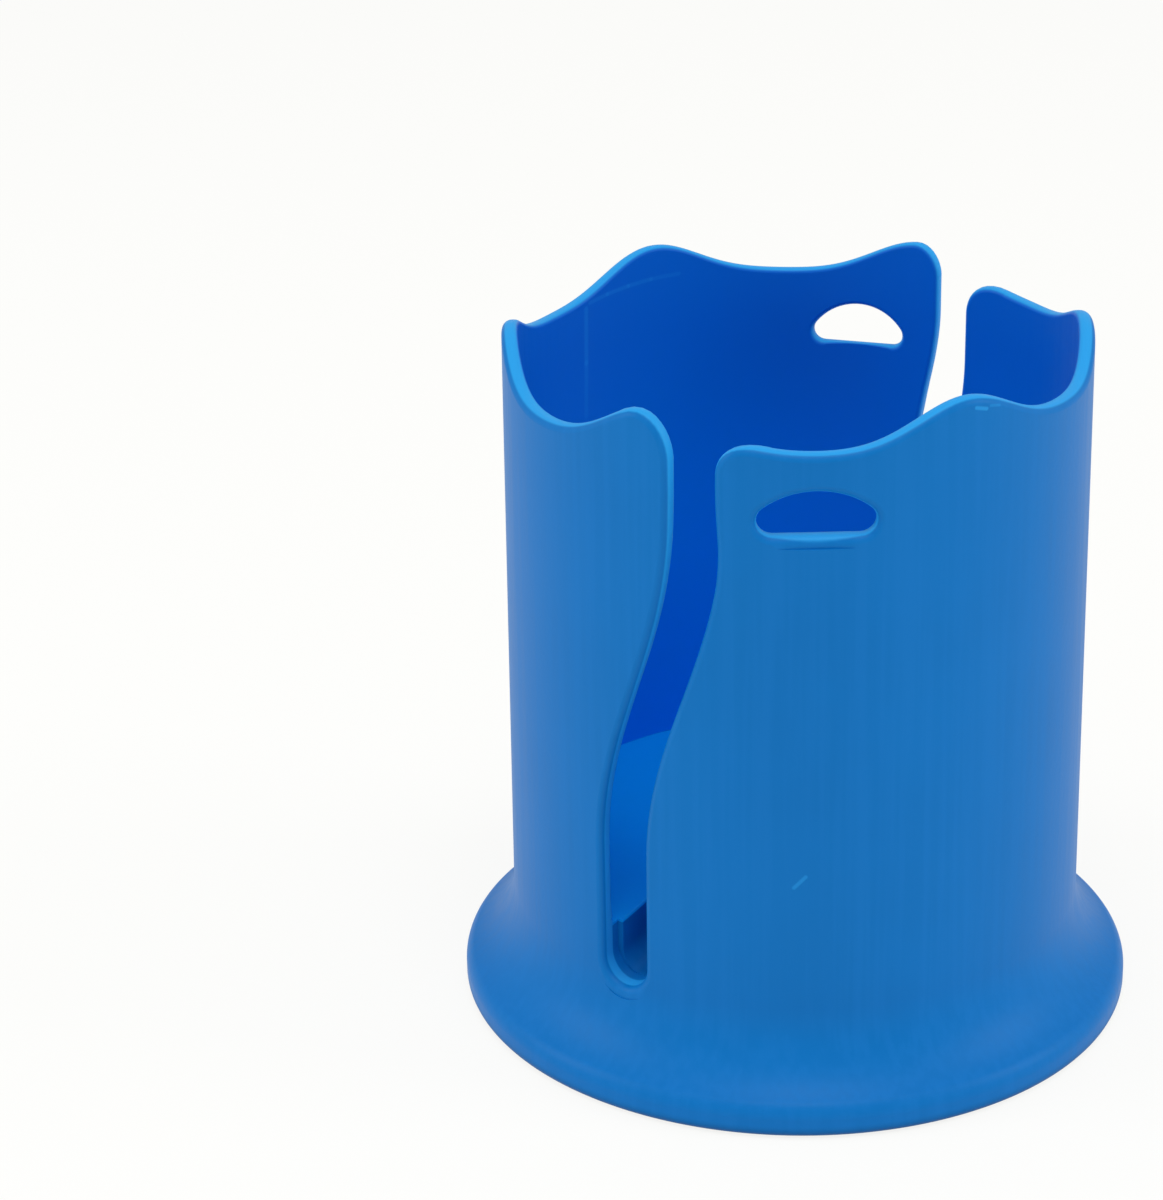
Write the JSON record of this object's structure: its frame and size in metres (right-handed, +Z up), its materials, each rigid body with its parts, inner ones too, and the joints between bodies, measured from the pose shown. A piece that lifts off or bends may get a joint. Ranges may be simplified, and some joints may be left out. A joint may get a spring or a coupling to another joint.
{
  "type": "kayak cup holder",
  "caption": "Cup holder for a kayak: a blue plastic tube with a wavy rim, S-shaped side slots, half-moon windows, a raised floor and a flared foot.",
  "frame": {"origin": "centre of the foot's flat underside", "axes": "+Z up along the tube's axis, -Y towards the side with the slot and window that the picture shows in front, +X to the right"},
  "size_m": [0.107, 0.107, 0.1116],
  "materials": {
    "plastic": "satin moulded surface"
  },
  "bodies": {
    "root": {"cup_holder": "plastic"}
  },
  "joints": []
}
